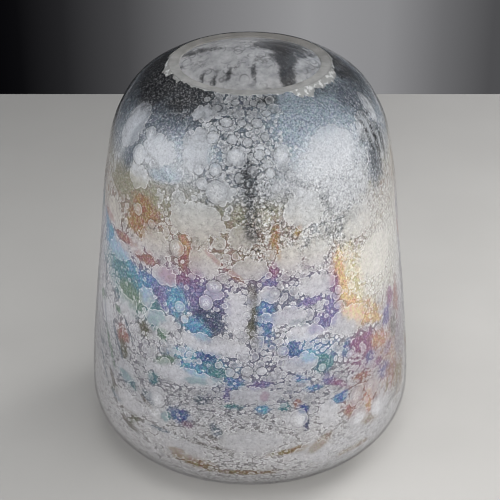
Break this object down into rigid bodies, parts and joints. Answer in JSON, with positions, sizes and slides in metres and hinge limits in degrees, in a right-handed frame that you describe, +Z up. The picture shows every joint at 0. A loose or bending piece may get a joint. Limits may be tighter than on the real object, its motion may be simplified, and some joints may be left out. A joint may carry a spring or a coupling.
{
  "type": "art glass vase",
  "caption": "Hand blown cased glass vase: wide rounded heel, tapering wall, domed shoulder and a small ground mouth, with pale islands in an iridescent film.",
  "frame": {"origin": "centre of the foot, on the surface that the vase stands on", "axes": "+Z up along the vase's axis, towards the mouth; -Y is the front"},
  "size_m": [0.172, 0.172, 0.208],
  "materials": {
    "gather_glass": "clear blown glass, greyed by the film behind it, ground at the lip",
    "smoke_glass": "charcoal smoke glass",
    "lustre": "iridescent metal film, grey to gold, violet, blue and teal",
    "pale_islands": "pale silver frost with fine pits",
    "casing_glass": "clear polished glass with a fine orange-peel surface"
  },
  "bodies": {
    "root": {"inner_gather": "gather_glass", "smoke_overlay": "smoke_glass", "lustre_film": "lustre", "shoulder_islands": "pale_islands", "belt_islands": "pale_islands", "belly_islands": "pale_islands", "heel_islands": "pale_islands", "clear_casing": "casing_glass"}
  },
  "joints": []
}
